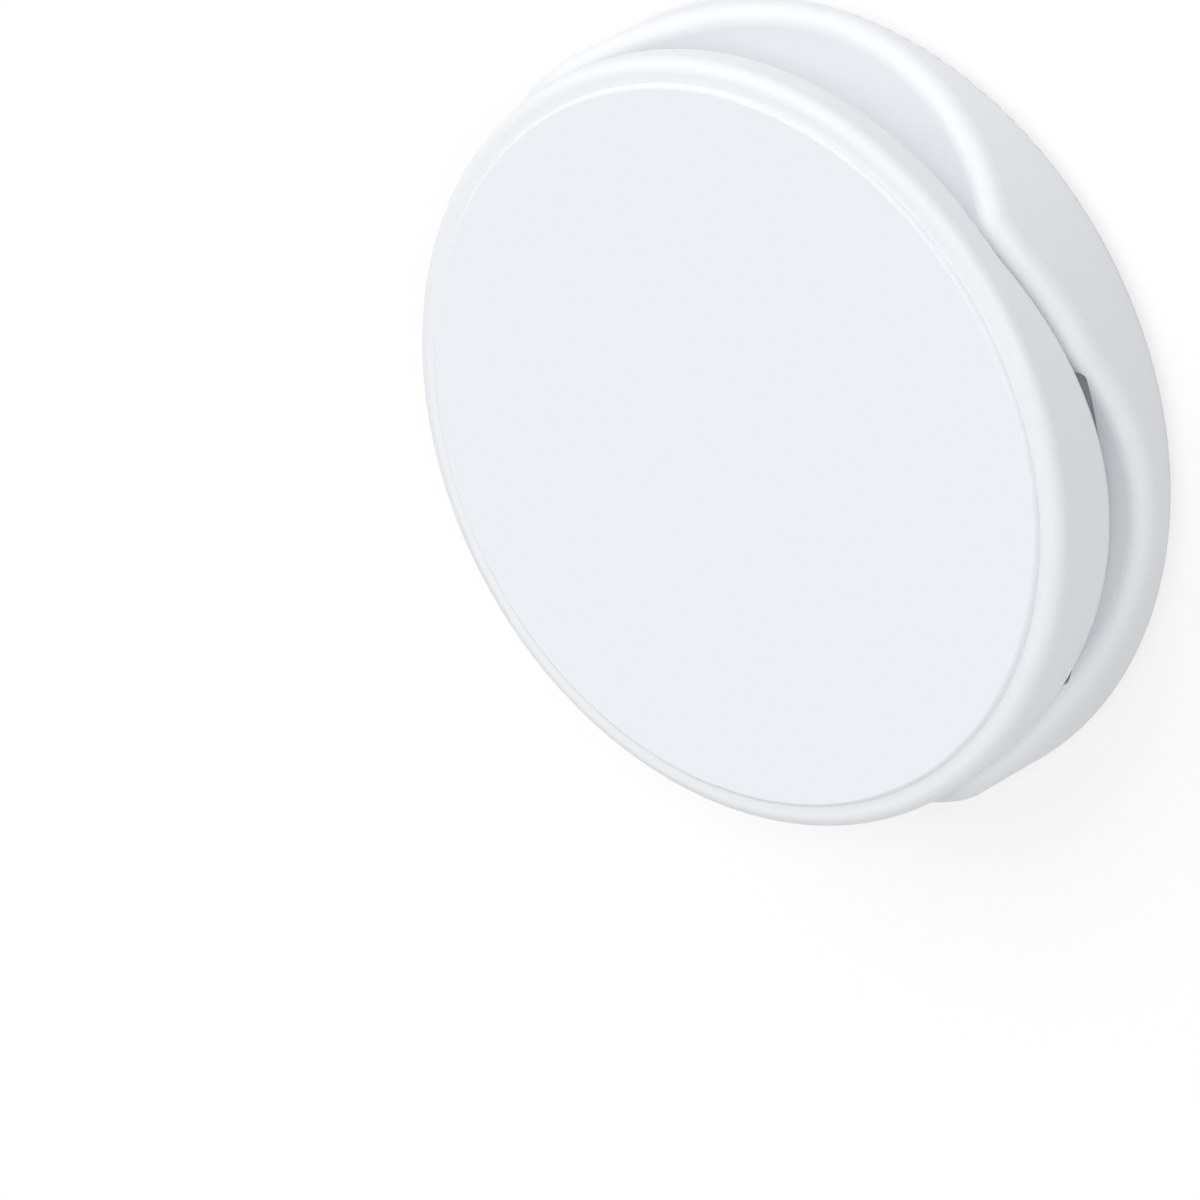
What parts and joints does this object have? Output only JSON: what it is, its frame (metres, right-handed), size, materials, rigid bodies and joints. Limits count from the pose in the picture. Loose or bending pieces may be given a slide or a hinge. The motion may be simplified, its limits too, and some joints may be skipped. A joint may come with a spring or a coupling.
{
  "type": "folding stick-on phone grip and stand",
  "caption": "Round white phone grip: a scooped dish base with an adhesive back, and a link arm that folds out to hold a bellied front disc as a finger hold and stand.",
  "frame": {"origin": "middle of the adhesive face that sticks to a phone's back", "axes": "+Z out of the front, +X towards the wall that holds the base hinge, +Y and -Y out of the finger scoops"},
  "size_m": [0.0494, 0.0494, 0.0105],
  "materials": {
    "white_abs": "satin moulded",
    "white_face": "smooth satin",
    "pin_steel": "drawn wire",
    "foam_tape": "foam adhesive tape"
  },
  "bodies": {
    "base": {"base": "white_abs", "adhesive_pad": "foam_tape"},
    "arm": {"link_arm": "white_abs", "base_hinge_pin": "pin_steel", "disc_hinge_pin": "pin_steel"},
    "disc": {"front_disc": "white_abs", "front_plate": "white_face"}
  },
  "joints": [
    {"name": "arm_hinge", "type": "hinge", "parent": "base", "child": "arm", "pos_m": [0.0168, 0, 0.0044], "axis": [0, 1, 0], "range_deg": [0, 90]},
    {"name": "disc_hinge", "type": "hinge", "parent": "arm", "child": "disc", "pos_m": [-0.0077, 0, 0.0044], "axis": [0, 1, 0], "range_deg": [-90, 0]}
  ],
  "couplings": [
    {"joint": "disc_hinge", "follows": "arm_hinge", "ratio": -1}
  ]
}
